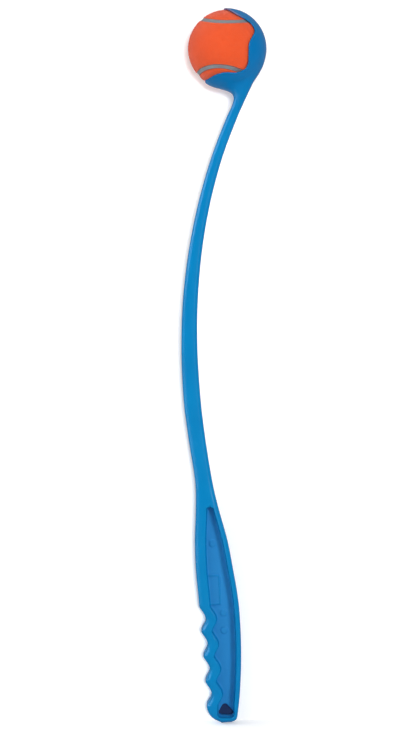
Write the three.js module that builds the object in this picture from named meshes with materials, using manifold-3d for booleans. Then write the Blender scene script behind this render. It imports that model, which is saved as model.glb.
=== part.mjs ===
import * as THREE from 'three';
import { mergeVertices } from 'three/addons/utils/BufferGeometryUtils.js';
import Module from 'manifold-3d';

// Dog ball thrower: a one-piece plastic moulding with a ball cup, a bowed shaft and a recessed handle,
// and the felt ball that snaps into its cup. Millimetres, +Z up the shaft, +X to the palm side,
// -Y to the near side. The origin is the middle of the hand grip, about halfway along the finger grooves.

// The whole thrower
const gripToBall = 532.7;
const gripToButt = 59.2;
const ballReach = 2.6;
const mouthRise = 14.8;

// Ball
const ballDiameter = 67;
const feltThickness = 3;
const seamWidth = 3.3;
const seamSink = 0.5;
const coreWall = 3.4;
const pieceGap = 0.3;
const coreGap = 0.5;

// Cup
const ballClearance = 0.3;
const cupWall = 1.4;

// Neck and shaft
const shaftBreadth = 15;
const shaftDepth = 12.5;
const shaftBow = 30;
const faceCrown = 0.5;

// Handle
const handleLength = 188;
const handleBreadth = 35;
const handleDepth = 22;
const edgeRounding = 3.4;
const groovePitch = 21.9;
const grooveDepth = 4.9;
const grooveDrop = 0.45;
const grooveCount = 4;

// Recess in each side of the handle
const fingerRim = 9.8;
const palmRim = 4.7;
const webThickness = 5;
const recessFillet = 1.4;
const recessDraft = 0.5;
const recessTipDrop = 1.5;

// Hang hole in the butt
const holeWidth = 13.2;
const holeHeight = 10.6;
const holeCorner = 2.8;
const holeAboveButt = 5.8;
const holeSide = 2.1;
const holeLedge = 0.6;

// Marks on the web
const plateLength = 27;
const plateWidth = 12.5;
const plateHeight = 0.5;
const plateCorner = 1.5;
const plateRise = 57;
const plateSide = -5.8;
const plateLean = 3;
const pinMarkDiameter = 6.2;
const pinMarkHeight = 0.3;

// One overrun serves every cut, one bite every join
const overrun = 4;
const bite = 0.2;

// Spacing of the rings that the bar is drawn with
const grooveRingGap = 2.6;
const bendRingGap = 3.5;
const shaftRingGap = 14;

const ballRadius = ballDiameter / 2;
const cavityRadius = ballRadius + ballClearance;
const cupRadius = cavityRadius + cupWall;
const handleTop = handleLength - gripToButt;
const grooveZone = (grooveCount * groovePitch) / 2;
const webFace = webThickness / 2;
const sides = [-1, 1];

const wasm = await Module();
wasm.setup();

const rad = THREE.MathUtils.degToRad;
const mix = THREE.MathUtils.lerp;

// Booleans work on closed meshes whose corners are shared.
function toSolid(geometry) {
  const bare = geometry.clone();
  bare.deleteAttribute('normal');
  bare.deleteAttribute('uv');
  const merged = mergeVertices(bare);
  return new wasm.Manifold(new wasm.Mesh({
    numProp: 3,
    vertProperties: new Float32Array(merged.attributes.position.array),
    triVerts: new Uint32Array(merged.index.array),
  }));
}

function toGeometry(solid) {
  const mesh = solid.getMesh();
  const geometry = new THREE.BufferGeometry();
  geometry.setAttribute('position', new THREE.BufferAttribute(mesh.vertProperties, 3));
  geometry.setIndex(new THREE.BufferAttribute(mesh.triVerts, 1));
  geometry.computeVertexNormals();
  return geometry;
}

function enclosedVolume(points, faces) {
  let sum = 0;
  for (const [a, b, c] of faces) {
    sum += points[a].dot(new THREE.Vector3().crossVectors(points[b], points[c]));
  }
  return sum;
}

// A closed skin over rings of equal count. Its two ends close on a point each, or ring on ring in a loop.
function skin(rings, ends) {
  const count = rings[0].length;
  const points = rings.flat();
  const faces = [];
  const bands = ends ? rings.length - 1 : rings.length;
  for (let band = 0; band < bands; band += 1) {
    const here = band * count;
    const next = ((band + 1) % rings.length) * count;
    for (let i = 0; i < count; i += 1) {
      const j = (i + 1) % count;
      faces.push([here + i, here + j, next + j]);
      faces.push([here + i, next + j, next + i]);
    }
  }
  if (ends) {
    const last = (rings.length - 1) * count;
    points.push(ends[0], ends[1]);
    for (let i = 0; i < count; i += 1) {
      const j = (i + 1) % count;
      faces.push([points.length - 2, j, i]);
      faces.push([points.length - 1, last + i, last + j]);
    }
  }
  const outward = enclosedVolume(points, faces) > 0;
  const index = faces.flatMap(([a, b, c]) => (outward ? [a, b, c] : [a, c, b]));
  const geometry = new THREE.BufferGeometry();
  geometry.setAttribute('position', new THREE.Float32BufferAttribute(points.flatMap((p) => p.toArray()), 3));
  geometry.setIndex(index);
  geometry.computeVertexNormals();
  return geometry;
}

function middleOf(ring) {
  const middle = new THREE.Vector3();
  ring.forEach((point) => middle.add(point));
  return middle.divideScalar(ring.length);
}

// Handle, shaft and neck are one bar. Each station gives its finger edge, its palm edge, its depth from
// side to side and the rounding of its corners.
// Handle: rise and side of the finger edge, rise and side of the palm edge, depth, rounding.
const handleShares = [
  [0, -0.046, 0.004, 0.206, 0.74, 0.91],
  [0.027, -0.283, 0.02, 0.326, 0.93, 1],
  [0.067, -0.411, 0.067, 0.369, 1, 1],
  [0.137, -0.437, 0.137, 0.406, 1, 1],
  [0.258, -0.486, 0.258, 0.437, 1, 1],
  [0.375, -0.54, 0.375, 0.437, 1, 1],
  [0.482, -0.586, 0.482, 0.411, 1, 1],
  [0.585, -0.629, 0.585, 0.36, 1, 1],
  [0.711, -0.694, 0.711, 0.243, 1, 1],
  [0.851, -0.72, 0.851, 0.094, 0.95, 1],
  [1, -0.697, 1, -0.129, 0.86, 1],
];
// Shaft: rise from handle to neck, bow of the middle line, breadth, depth, rounding.
const shaftShares = [
  [0.072, 0.587, 1, 1.26, 1],
  [0.185, 0.79, 0.987, 1.07, 1],
  [0.289, 0.93, 1, 1, 1],
  [0.417, 1.002, 0.94, 0.97, 1],
  [0.541, 0.968, 0.873, 0.93, 1],
  [0.665, 0.822, 0.78, 0.88, 0.95],
  [0.784, 0.572, 0.7, 0.84, 0.9],
  [0.902, 0.205, 0.647, 0.8, 0.85],
];
// Neck: places of both edges from the ball's middle by the cup's radius, depth by the shaft's, rounding.
const neckShares = [
  [-0.026, -1.784, 0.239, -1.784, 0.8, 0.85],
  [0.122, -1.46, 0.412, -1.381, 0.95, 1],
  [0.179, -1.244, 0.531, -1.119, 1.2, 1.3],
  [0.142, -1.116, 0.656, -0.855, 1.5, 1.9],
  [0.017, -1.026, 0.784, -0.597, 1.7, 2.4],
  [-0.122, -0.926, 0.875, -0.338, 1.5, 2.6],
  [-0.102, -0.793, 0.741, -0.27, 1.1, 2],
];

function station(fingerX, fingerZ, palmX, palmZ, depth, rounding) {
  return {
    finger: new THREE.Vector3(fingerX, 0, fingerZ),
    palm: new THREE.Vector3(palmX, 0, palmZ),
    form: new THREE.Vector3(depth, rounding, 0),
  };
}

const neckBase = gripToBall + neckShares[0][1] * cupRadius;
const stations = [
  ...handleShares.map(([fingerRise, fingerSide, palmRise, palmSide, depth, rounding]) => station(
    fingerSide * handleBreadth,
    fingerRise * handleLength - gripToButt,
    palmSide * handleBreadth,
    palmRise * handleLength - gripToButt,
    depth * handleDepth,
    rounding * edgeRounding,
  )),
  ...shaftShares.map(([rise, bow, breadth, depth, rounding]) => station(
    -bow * shaftBow - (breadth * shaftBreadth) / 2,
    mix(handleTop, neckBase, rise),
    -bow * shaftBow + (breadth * shaftBreadth) / 2,
    mix(handleTop, neckBase, rise),
    depth * shaftDepth,
    rounding * edgeRounding,
  )),
  ...neckShares.map(([fingerX, fingerZ, palmX, palmZ, depth, rounding]) => station(
    ballReach + fingerX * cupRadius,
    gripToBall + fingerZ * cupRadius,
    ballReach + palmX * cupRadius,
    gripToBall + palmZ * cupRadius,
    depth * shaftDepth,
    rounding * edgeRounding,
  )),
];
const spans = stations.length - 1;

const edgeTension = 0.5;
const [fingerEdge, palmEdge, formCurve] = ['finger', 'palm', 'form'].map((line) => (
  new THREE.CatmullRomCurve3(stations.map((each) => each[line]), false, 'catmullrom', edgeTension)
));

// The four finger grooves are one wave along the finger edge, its hollows broader than its bumps.
const bumpShare = 0.7;

function grooveAt(rise) {
  const along = rise + grooveDrop;
  if (Math.abs(along) > grooveZone) {
    return 0;
  }
  const phase = (2 * Math.PI * along) / groovePitch + grooveCount * Math.PI;
  return grooveDepth * ((1 - Math.cos(phase)) / 2) ** bumpShare;
}

function fingerPoint(share) {
  const point = fingerEdge.getPoint(share);
  point.x += grooveAt(point.z);
  return point;
}

const cornerCount = 4;
const cornerSteps = 3;

// A rounded rectangle between the two edges, its long faces crowned.
function sectionRing(share) {
  const finger = fingerPoint(share);
  const palm = palmEdge.getPoint(share);
  const form = formCurve.getPoint(share);
  const across = palm.clone().sub(finger).divideScalar(2);
  const middle = finger.clone().add(across);
  const breadth = across.length();
  const depth = form.x / 2;
  const rounding = Math.min(form.y, breadth, depth);
  across.normalize();
  const ring = [];
  const place = (side, out) => ring.push(
    middle.clone().addScaledVector(across, side).add(new THREE.Vector3(0, out, 0)),
  );
  for (let corner = 0; corner < cornerCount; corner += 1) {
    const sideSign = corner === 0 || corner === 3 ? 1 : -1;
    const outSign = corner < 2 ? 1 : -1;
    for (let step = 0; step <= cornerSteps; step += 1) {
      const angle = ((corner + step / cornerSteps) * Math.PI) / 2;
      place(
        sideSign * (breadth - rounding) + rounding * Math.cos(angle),
        outSign * (depth - rounding) + rounding * Math.sin(angle),
      );
    }
    if (corner % 2 === 0) {
      place(0, outSign * (depth + faceCrown));
    }
  }
  return ring;
}

// Rings lie close together down the finger grooves, at the butt and at the neck, and far apart up the shaft.
function stepsIn(span) {
  const from = stations[span].finger;
  const to = stations[span + 1].finger;
  let gap = shaftRingGap;
  if (Math.abs(to.z) < grooveZone || Math.abs(from.z) < grooveZone) {
    gap = grooveRingGap;
  } else if (from.z > neckBase || to.z < 0) {
    gap = bendRingGap;
  }
  return Math.ceil(from.distanceTo(to) / gap);
}

function barGeometry() {
  const rings = [];
  for (let span = 0; span < spans; span += 1) {
    const steps = stepsIn(span);
    for (let step = 0; step < steps; step += 1) {
      rings.push(sectionRing((span + step / steps) / spans));
    }
  }
  rings.push(sectionRing(1));
  return skin(rings, [middleOf(rings[0]), middleOf(rings[rings.length - 1])]);
}

// The cup hugs the ball from behind. Its mouth looks to the finger side and a little up.
const mouth = new THREE.Vector3(-Math.cos(rad(mouthRise)), 0, Math.sin(rad(mouthRise)));
const overMouth = new THREE.Vector3(Math.sin(rad(mouthRise)), 0, Math.cos(rad(mouthRise)));
const nearSide = new THREE.Vector3(0, -1, 0);
const ballMiddle = new THREE.Vector3(ballReach, 0, gripToBall);
const halfTurn = 180;

// Edge of the cup from the tip of its top lip, round its side, to the tip of its bottom lip: the turn
// about the mouth's axis and the angle from that axis, in degrees.
const rimDegrees = [
  [0, 77], [14, 77.5], [26, 80.5], [34, 86.5], [40, 96], [42, 106], [43.5, 115], [47.5, 122.5],
  [55, 125.8], [70, 124], [84, 122.9], [98, 125.4], [112, 128.6], [122, 128], [129, 122.5],
  [133, 112], [134.5, 101], [138, 92.5], [144.5, 86], [154, 81], [166, 77.8], [halfTurn, 77],
];
const rimStepsPerSide = 28;
const bowlSteps = 12;

// Every point of the rim also carries its even turn, which spreads the bowl's lines behind it.
function rimPoints() {
  const curve = new THREE.CatmullRomCurve3(
    rimDegrees.map(([turn, angle]) => new THREE.Vector3(turn, angle, 0)),
    false,
    'centripetal',
  );
  const side = curve.getSpacedPoints(rimStepsPerSide).map((point, at) => ({
    turn: point.x,
    angle: point.y,
    evenTurn: (at * halfTurn) / rimStepsPerSide,
  }));
  const mirrored = side.slice(1, -1).reverse().map(({ turn, angle, evenTurn }) => ({
    turn: 2 * halfTurn - turn,
    angle,
    evenTurn: 2 * halfTurn - evenTurn,
  }));
  return [...side, ...mirrored];
}

// Outside, the cup is round all over. Inside, it is round behind its widest ring and runs straight ahead
// of it, so that the lips thin out to their tips and the ball has a clear way out.
function cupPoint(turn, angle, radius, outside) {
  const along = radius * Math.cos(rad(angle));
  const out = radius * (along > 0 && !outside ? 1 : Math.sin(rad(angle)));
  return ballMiddle.clone()
    .addScaledVector(mouth, along)
    .addScaledVector(overMouth, out * Math.cos(rad(turn)))
    .addScaledVector(nearSide, out * Math.sin(rad(turn)));
}

function cupGeometry() {
  const rim = rimPoints();
  const ringAt = (share, radius, outside) => rim.map(({ turn, angle, evenTurn }) => cupPoint(
    mix(evenTurn, turn, share * share),
    mix(halfTurn, angle, share),
    radius,
    outside,
  ));
  const rings = [];
  for (let step = 1; step <= bowlSteps; step += 1) {
    rings.push(ringAt(step / bowlSteps, cupRadius, true));
  }
  for (let step = bowlSteps; step >= 1; step -= 1) {
    rings.push(ringAt(step / bowlSteps, cavityRadius, false));
  }
  const back = (radius) => ballMiddle.clone().addScaledVector(mouth, -radius);
  return skin(rings, [back(cupRadius), back(cavityRadius)]);
}

const ballDetail = 6;

// The neck stops inside the cup's wall, on a ball halfway through it.
function neckCutter() {
  const geometry = new THREE.IcosahedronGeometry(cavityRadius + cupWall / 2, ballDetail);
  geometry.translate(ballMiddle.x, ballMiddle.y, ballMiddle.z);
  return toSolid(geometry);
}

// Hang hole: a triangle with round corners, its flat side down, pierced through the web.
const holeFloor = holeAboveButt - gripToButt;
const holeLeanShare = 0.25;
const holeCornerSteps = 4;

function roundTriangle(grow) {
  const radius = holeCorner + grow;
  const low = holeFloor + holeCorner;
  const high = holeFloor + holeHeight - holeCorner;
  const half = holeWidth / 2 - holeCorner;
  const corners = [
    new THREE.Vector2(holeSide - half, low),
    new THREE.Vector2(holeSide + half, low),
    new THREE.Vector2(holeSide - half * holeLeanShare, high),
  ];
  const points = [];
  corners.forEach((corner, at) => {
    const before = corners[(at + 2) % 3];
    const after = corners[(at + 1) % 3];
    const start = Math.atan2(corner.y - before.y, corner.x - before.x) - Math.PI / 2;
    let end = Math.atan2(after.y - corner.y, after.x - corner.x) - Math.PI / 2;
    while (end < start) {
      end += 2 * Math.PI;
    }
    for (let step = 0; step <= holeCornerSteps; step += 1) {
      const angle = mix(start, end, step / holeCornerSteps);
      points.push(new THREE.Vector2(
        corner.x + radius * Math.cos(angle),
        corner.y + radius * Math.sin(angle),
      ));
    }
  });
  return points;
}

// An outline drawn in the throwing plane, extruded from one depth to another along Y.
function slab(points, from, to) {
  const geometry = new THREE.ExtrudeGeometry(new THREE.Shape(points), {
    depth: to - from,
    bevelEnabled: false,
  });
  geometry.rotateX(Math.PI / 2);
  geometry.translate(0, to, 0);
  return toSolid(geometry);
}

// The recess runs from just above the hang hole's middle to the handle's top station.
const recessFootStation = 2.35;
const recessTopStation = handleShares.length - 1;
const recessFingerSteps = 52;
const recessPalmSteps = 14;
const recessTipShare = 0.45;
const ledgeShare = 1.5;

// Outline of the recess: down the finger side in step with the grooves, round the hang hole, up the palm
// side and round the narrow tip.
function recessOutline() {
  const foot = recessFootStation / spans;
  const top = recessTopStation / spans;
  const down = [];
  const up = [];
  for (let step = 0; step <= recessFingerSteps; step += 1) {
    const edge = fingerPoint(mix(top, foot, step / recessFingerSteps));
    down.push(new THREE.Vector2(edge.x + fingerRim, edge.z));
  }
  for (let step = 0; step <= recessPalmSteps; step += 1) {
    const edge = palmEdge.getPoint(mix(foot, top, step / recessPalmSteps));
    up.push(new THREE.Vector2(edge.x - palmRim, edge.z));
  }
  const ledge = roundTriangle(holeLedge).filter((point) => point.y < holeFloor + ledgeShare * holeCorner);
  const tip = new THREE.Vector2(
    mix(up[recessPalmSteps].x, down[0].x, recessTipShare),
    handleTop + recessTipDrop,
  );
  return [...down, ...ledge, ...up, tip];
}

// The outline moved outwards by a distance, square to itself.
function spread(outline, distance) {
  return outline.map((point, at) => {
    const before = outline[(at + outline.length - 1) % outline.length];
    const after = outline[(at + 1) % outline.length];
    const along = after.clone().sub(before).normalize();
    return new THREE.Vector2(point.x + along.y * distance, point.y - along.x * distance);
  });
}

const filletSteps = 2;

// The recess in one side of the handle. Its floor meets its walls in a fillet, and the walls lean out.
function recessCutter(side) {
  const outline = recessOutline();
  const ringAt = (grow, out) => spread(outline, grow).map((p) => new THREE.Vector3(p.x, side * out, p.y));
  const rings = [];
  for (let step = 0; step <= filletSteps; step += 1) {
    const angle = (step / filletSteps) * (Math.PI / 2);
    rings.push(ringAt(
      recessFillet * (Math.sin(angle) - 1),
      webFace + recessFillet * (1 - Math.cos(angle)),
    ));
  }
  rings.push(ringAt(recessDraft, handleDepth / 2 + overrun));
  return toSolid(skin(rings, [middleOf(rings[0]), middleOf(rings[rings.length - 1])]));
}

const plateCornerSteps = 3;

// Bare raised plate on each side of the web, leaning with the recess.
function plateOutline() {
  const shape = new THREE.Shape();
  const across = plateWidth / 2 - plateCorner;
  const along = plateLength / 2 - plateCorner;
  shape.absarc(across, along, plateCorner, 0, Math.PI / 2);
  shape.absarc(-across, along, plateCorner, Math.PI / 2, Math.PI);
  shape.absarc(-across, -along, plateCorner, Math.PI, (3 * Math.PI) / 2);
  shape.absarc(across, -along, plateCorner, (3 * Math.PI) / 2, 2 * Math.PI);
  const pivot = new THREE.Vector2();
  const middle = new THREE.Vector2(plateSide, plateRise);
  return shape.getPoints(plateCornerSteps).map((point) => (
    point.clone().rotateAround(pivot, rad(plateLean)).add(middle)
  ));
}

// Round marks that the ejector pins leave: rise up the handle and side, by the handle's length and breadth.
const pinMarkShares = [[0.835, -0.274], [0.512, 0.006], [0.43, 0.016]];
const pinMarkTurns = 20;

function pinMark([rise, side], face, out) {
  const radius = pinMarkDiameter / 2;
  const geometry = new THREE.CylinderGeometry(radius, radius, out - face, pinMarkTurns);
  geometry.translate(side * handleBreadth, (face + out) / 2, rise * handleLength - gripToButt);
  return toSolid(geometry);
}

function throwerGeometry() {
  let bar = toSolid(barGeometry()).subtract(neckCutter());
  for (const side of sides) {
    const layer = (height) => {
      const root = side * (webFace - bite);
      const face = side * (webFace + height);
      return [Math.min(root, face), Math.max(root, face)];
    };
    bar = bar.subtract(recessCutter(side));
    bar = bar.add(slab(plateOutline(), ...layer(plateHeight)));
    for (const shares of pinMarkShares) {
      bar = bar.add(pinMark(shares, ...layer(pinMarkHeight)));
    }
  }
  const hole = slab(roundTriangle(0), -handleDepth, handleDepth);
  return toGeometry(bar.subtract(hole).add(toSolid(cupGeometry())));
}

// The ball is drawn about its own middle with its poles on Z. The seam waves round it between them.
const seamWaveShare = 0.208;
const turnNudge = 0.01;

function seamDirection(turn) {
  const main = 1 - seamWaveShare;
  return new THREE.Vector3(
    main * Math.cos(turn) + seamWaveShare * Math.cos(3 * turn),
    main * Math.sin(turn) - seamWaveShare * Math.sin(3 * turn),
    2 * Math.sqrt(main * seamWaveShare) * Math.sin(2 * turn),
  ).normalize();
}

// A direction beside the seam, positive towards the +Z pole's panel.
function besideSeam(turn, distance, radius) {
  const here = seamDirection(turn);
  const along = seamDirection(turn + turnNudge).sub(seamDirection(turn - turnNudge)).normalize();
  const across = new THREE.Vector3().crossVectors(here, along);
  const angle = distance / radius;
  return here.multiplyScalar(Math.cos(angle)).addScaledVector(across, Math.sin(angle)).normalize();
}

const feltInner = ballRadius - feltThickness;
const coreRadius = feltInner - coreGap;
const panelTurns = 60;
const coneShare = 5;

// A felt panel is the part of a felt shell that lies in a cone from the ball's middle to the edge beside
// the seam. The cone reaches well past the ball, so that its far side clears the shell.
function feltPanelGeometry() {
  const reach = coneShare * ballRadius;
  const edge = [];
  for (let i = 0; i < panelTurns; i += 1) {
    const turn = (2 * Math.PI * i) / panelTurns;
    edge.push(besideSeam(turn, seamWidth / 2 + pieceGap, ballRadius).multiplyScalar(reach));
  }
  const cone = toSolid(skin([edge], [new THREE.Vector3(), new THREE.Vector3(0, 0, reach)]));
  const outside = toSolid(new THREE.IcosahedronGeometry(ballRadius, ballDetail));
  const inside = toSolid(new THREE.IcosahedronGeometry(feltInner, ballDetail));
  return toGeometry(outside.subtract(inside).intersect(cone));
}

const seamSteps = 120;

// The seam is a band of even width in the groove between the panels, its face a little below theirs.
function seamStripGeometry() {
  const outer = ballRadius - seamSink;
  const rings = [];
  for (let i = 0; i < seamSteps; i += 1) {
    const turn = (2 * Math.PI * i) / seamSteps;
    const [right, left] = sides.map((side) => besideSeam(turn, (side * seamWidth) / 2, ballRadius));
    rings.push([
      left.clone().multiplyScalar(feltInner),
      left.clone().multiplyScalar(outer),
      right.clone().multiplyScalar(outer),
      right.clone().multiplyScalar(feltInner),
    ]);
  }
  return skin(rings);
}

const coreSteps = 7;
const coreTurns = 24;

// Half of the rubber core, a bowl that stops just short of the joint plane.
function coreHalfGeometry() {
  const rise = pieceGap / 2;
  const arc = (radius, step) => {
    const angle = mix(Math.asin(rise / radius), Math.PI / 2, step / coreSteps);
    const out = step === coreSteps ? 0 : radius * Math.cos(angle);
    return new THREE.Vector2(out, radius * Math.sin(angle));
  };
  const profile = [];
  for (let step = coreSteps; step >= 0; step -= 1) {
    profile.push(arc(coreRadius - coreWall, step));
  }
  for (let step = 0; step <= coreSteps; step += 1) {
    profile.push(arc(coreRadius, step));
  }
  const geometry = new THREE.LatheGeometry(profile, coreTurns);
  geometry.rotateX(Math.PI / 2);
  return geometry;
}

const bluePlastic = { color: 0x0a84c4, roughness: 0.38, metalness: 0 };
const orangeFelt = { color: 0xf0602e, roughness: 0.95, metalness: 0 };
const greyRubber = { color: 0x7d9496, roughness: 0.7, metalness: 0 };
const darkRubber = { color: 0x3a3835, roughness: 0.8, metalness: 0 };

function piece(name, geometry, finish) {
  const mesh = new THREE.Mesh(geometry, new THREE.MeshStandardMaterial(finish));
  mesh.name = name;
  return mesh;
}

// The ball sits turned in the cup: its near pole looks out of the near side, a little to the finger
// side, and its seam runs above and below that pole.
const poleYaw = -10.5;
const polePitch = 91.3;
const seamRoll = 41.2;

function buildBall() {
  const ball = new THREE.Group();
  ball.position.copy(ballMiddle);
  ball.rotation.set(rad(polePitch), 0, rad(poleYaw), 'ZXY');
  const turnedBall = new THREE.Group();
  turnedBall.rotation.z = rad(seamRoll);
  const farPanel = piece('felt_panel_far', feltPanelGeometry(), orangeFelt);
  farPanel.rotation.x = Math.PI;
  const farCore = piece('core_half_far', coreHalfGeometry(), darkRubber);
  farCore.rotation.x = Math.PI;
  turnedBall.add(
    piece('felt_panel_near', feltPanelGeometry(), orangeFelt),
    farPanel,
    piece('seam_strip', seamStripGeometry(), greyRubber),
    piece('core_half_near', coreHalfGeometry(), darkRubber),
    farCore,
  );
  ball.add(turnedBall);
  return ball;
}

const ballThrower = new THREE.Group();
ballThrower.add(piece('thrower', throwerGeometry(), bluePlastic), buildBall());

export default ballThrower;
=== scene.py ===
import math

import bpy
import numpy as np
from mathutils import Matrix, Vector


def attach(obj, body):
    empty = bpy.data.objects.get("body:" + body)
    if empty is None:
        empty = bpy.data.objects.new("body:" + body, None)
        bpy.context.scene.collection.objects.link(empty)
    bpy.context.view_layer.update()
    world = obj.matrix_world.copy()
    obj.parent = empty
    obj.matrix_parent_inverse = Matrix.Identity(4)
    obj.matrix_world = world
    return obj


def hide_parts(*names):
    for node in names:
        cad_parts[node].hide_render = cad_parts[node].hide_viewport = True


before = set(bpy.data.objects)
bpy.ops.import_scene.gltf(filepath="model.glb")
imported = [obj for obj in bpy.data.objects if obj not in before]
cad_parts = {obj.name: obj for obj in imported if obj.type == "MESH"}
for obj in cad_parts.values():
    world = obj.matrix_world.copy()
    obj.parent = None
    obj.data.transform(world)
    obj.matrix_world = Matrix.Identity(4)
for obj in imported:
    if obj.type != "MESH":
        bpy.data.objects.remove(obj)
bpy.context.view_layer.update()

# Thrower: ball cup, neck, bowed shaft and recessed handle in one injection moulding of blue
# polypropylene. The outside has a fine satin grain. Each side of the handle is cored out down to a web,
# and the butt is pierced so that the thrower can hang on a hook.

MM = 0.001

# Stations from the butt to the cup, in mm: finger edge x and z, palm edge x and z, depth from side to
# side, rounding of the corners.
bar_stations = [
    (-1.6, -59.2, 7.2, -58.4, 16.3, 3.1),
    (-9.9, -54.1, 11.4, -55.4, 20.5, 3.4),
    (-14.4, -46.6, 12.9, -46.6, 22.0, 3.4),
    (-15.3, -33.4, 14.2, -33.4, 22.0, 3.4),
    (-17.0, -10.7, 15.3, -10.7, 22.0, 3.4),
    (-18.9, 11.3, 15.3, 11.3, 22.0, 3.4),
    (-20.5, 31.4, 14.4, 31.4, 22.0, 3.4),
    (-22.0, 50.8, 12.6, 50.8, 22.0, 3.4),
    (-24.3, 74.5, 8.5, 74.5, 22.0, 3.4),
    (-25.2, 100.8, 3.3, 100.8, 20.9, 3.4),
    (-24.4, 128.8, -4.5, 128.8, 18.9, 3.4),
    (-25.1, 153.4, -10.1, 153.4, 15.8, 3.4),
    (-31.1, 191.9, -16.3, 191.9, 13.4, 3.4),
    (-35.4, 227.4, -20.4, 227.4, 12.5, 3.4),
    (-37.1, 271.1, -23.0, 271.1, 12.1, 3.4),
    (-35.6, 313.4, -22.5, 313.4, 11.6, 3.4),
    (-30.5, 355.7, -18.8, 355.7, 11.0, 3.2),
    (-22.4, 396.2, -11.9, 396.2, 10.5, 3.1),
    (-11.0, 436.5, -1.3, 436.5, 10.0, 2.9),
    (1.7, 469.9, 11.0, 469.9, 10.0, 2.9),
    (6.9, 481.3, 17.1, 484.1, 11.9, 3.4),
    (8.9, 488.9, 21.3, 493.3, 15.0, 4.4),
    (7.6, 493.4, 25.7, 502.6, 18.8, 5.5),
    (3.2, 496.6, 30.2, 511.7, 21.2, 6.0),
    (-1.7, 500.1, 33.4, 520.8, 18.8, 6.0),
    (-1.0, 504.8, 28.7, 523.2, 13.8, 6.0),
]
handle_top_station = 10
neck_station = 19
station_steps = 30
face_crown, crown_reach = 0.5, 8

groove_pitch, groove_depth, groove_drop, groove_count = 21.9, 4.9, 0.45, 4
groove_sharpness = 0.7

ball_middle = np.array([2.6, 0.0, 532.7])
cavity_radius, cup_wall, rim_rounding = 33.8, 1.4, 0.35
rim_relief, rim_reach, tip_thinning, tip_reach = 0.5, 3.5, 0.7, 14
# Painted highlight on the top lip's end: its reach from the rim line, how high above the ball's middle it
# starts, and the height over which it fades in.
lip_highlight_reach, lip_highlight_rise, lip_highlight_fade = 1.6, 22, 4
mouth_rise = math.radians(14.8)
neck_fillet = 3.0
# Edge of the cup from the tip of its top lip, round its near side, to the tip of its bottom lip: the turn
# about the mouth's axis and the angle from that axis, in degrees.
rim_degrees = [
    (0, 70.5), (12, 71.7), (20, 75), (28, 80), (34, 85.5), (38.5, 92), (40.3, 98), (41, 106), (41.7, 113),
    (45, 121.5), (51, 125.6), (57, 126), (70, 124), (79, 122.6), (86, 123), (98, 125.7), (113, 129.1),
    (121, 128.8), (126, 127), (131.3, 120), (133.4, 111.7), (133.8, 103.5), (135.6, 96.4), (139, 90.5),
    (144.4, 84.5), (154.6, 78.2), (168, 72.6), (180, 70.5),
]

finger_rim, palm_rim = 9.8, 4.7
web_face, web_coarse_reach = 2.5, 1.0
recess_fillet, recess_edge, recess_draft = 1.4, 0.8, 0.5
recess_foot_station, recess_point, recess_point_lead = 2.35, 0.55, 1.5
recess_zone_top, cup_zone_foot = 140, 470
handle_face = 11.0

hole_radius, hole_edge, hole_ledge = 2.8, 0.6, 0.6
hole_corners = [(-1.7, -50.6), (5.9, -50.6), (1.15, -45.6)]
ledge_top = -49.2

plate_middle, plate_half, plate_corner, plate_lean = (-8.8, 57.0), (6.25, 13.5), 1.5, math.radians(3)
plate_height, plate_border, plate_border_height = 0.6, 1.1, 0.5
pin_marks = [(-9.6, 97.8), (0.2, 37.1), (0.6, 21.6)]
pin_radius, pin_height = 3.1, 0.75
mark_softness = 0.4

# Steps of the grid that the skin is drawn on, and of the charts that its distances are read from.
cell = 0.78
shaft_cell, web_cell = 2.8, 0.5
rim_steps, surface_moves = 10, 2
bar_chart_low, bar_chart_high, bar_chart_step = (-44, -64), (44, 540), 0.6
recess_chart_low, recess_chart_high, recess_chart_step = (-22, -64), (22, recess_zone_top), 0.4
hole_chart_low, hole_chart_high, hole_chart_step = (-10, -64), (14, -34), 0.25
rim_chart_reach, ball_chart_step = math.radians(125), math.radians(0.6)


def flow(rows, steps):
    """A smooth run through rows of numbers, with this many steps between each two rows."""
    rows = np.array(rows, float)
    rows = np.vstack([2 * rows[0] - rows[1], rows, 2 * rows[-1] - rows[-2]])
    share = (np.arange(steps) / steps)[:, None]
    spans = []
    for before, here, after, beyond in zip(rows, rows[1:], rows[2:], rows[3:]):
        spans.append(
            (2 * share**3 - 3 * share**2 + 1) * here
            + (share**3 - 2 * share**2 + share) * (after - before) / 2
            + (3 * share**2 - 2 * share**3) * after
            + (share**3 - share**2) * (beyond - here) / 2
        )
    return np.vstack(spans + [rows[-2:-1]])


def line_distance(points, line):
    """Distance from each point to a closed line of points."""
    nearest = np.full(len(points), np.inf)
    for start, end in zip(line, np.roll(line, -1, axis=0)):
        along = end - start
        offset = points - start
        share = np.clip(offset @ along / (along @ along + 1e-12), 0, 1)
        nearest = np.minimum(nearest, np.sum((offset - share[:, None] * along) ** 2, axis=1))
    return np.sqrt(nearest)


def enclosed(points, outline):
    """Which flat points lie inside a closed outline."""
    inside = np.zeros(len(points), bool)
    for start, end in zip(outline, np.roll(outline, -1, axis=0)):
        if start[1] != end[1]:
            level = (points[:, 1] - start[1]) / (end[1] - start[1])
            passes = (start[1] > points[:, 1]) != (end[1] > points[:, 1])
            inside ^= passes & (points[:, 0] < start[0] + level * (end[0] - start[0]))
    return inside


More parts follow.
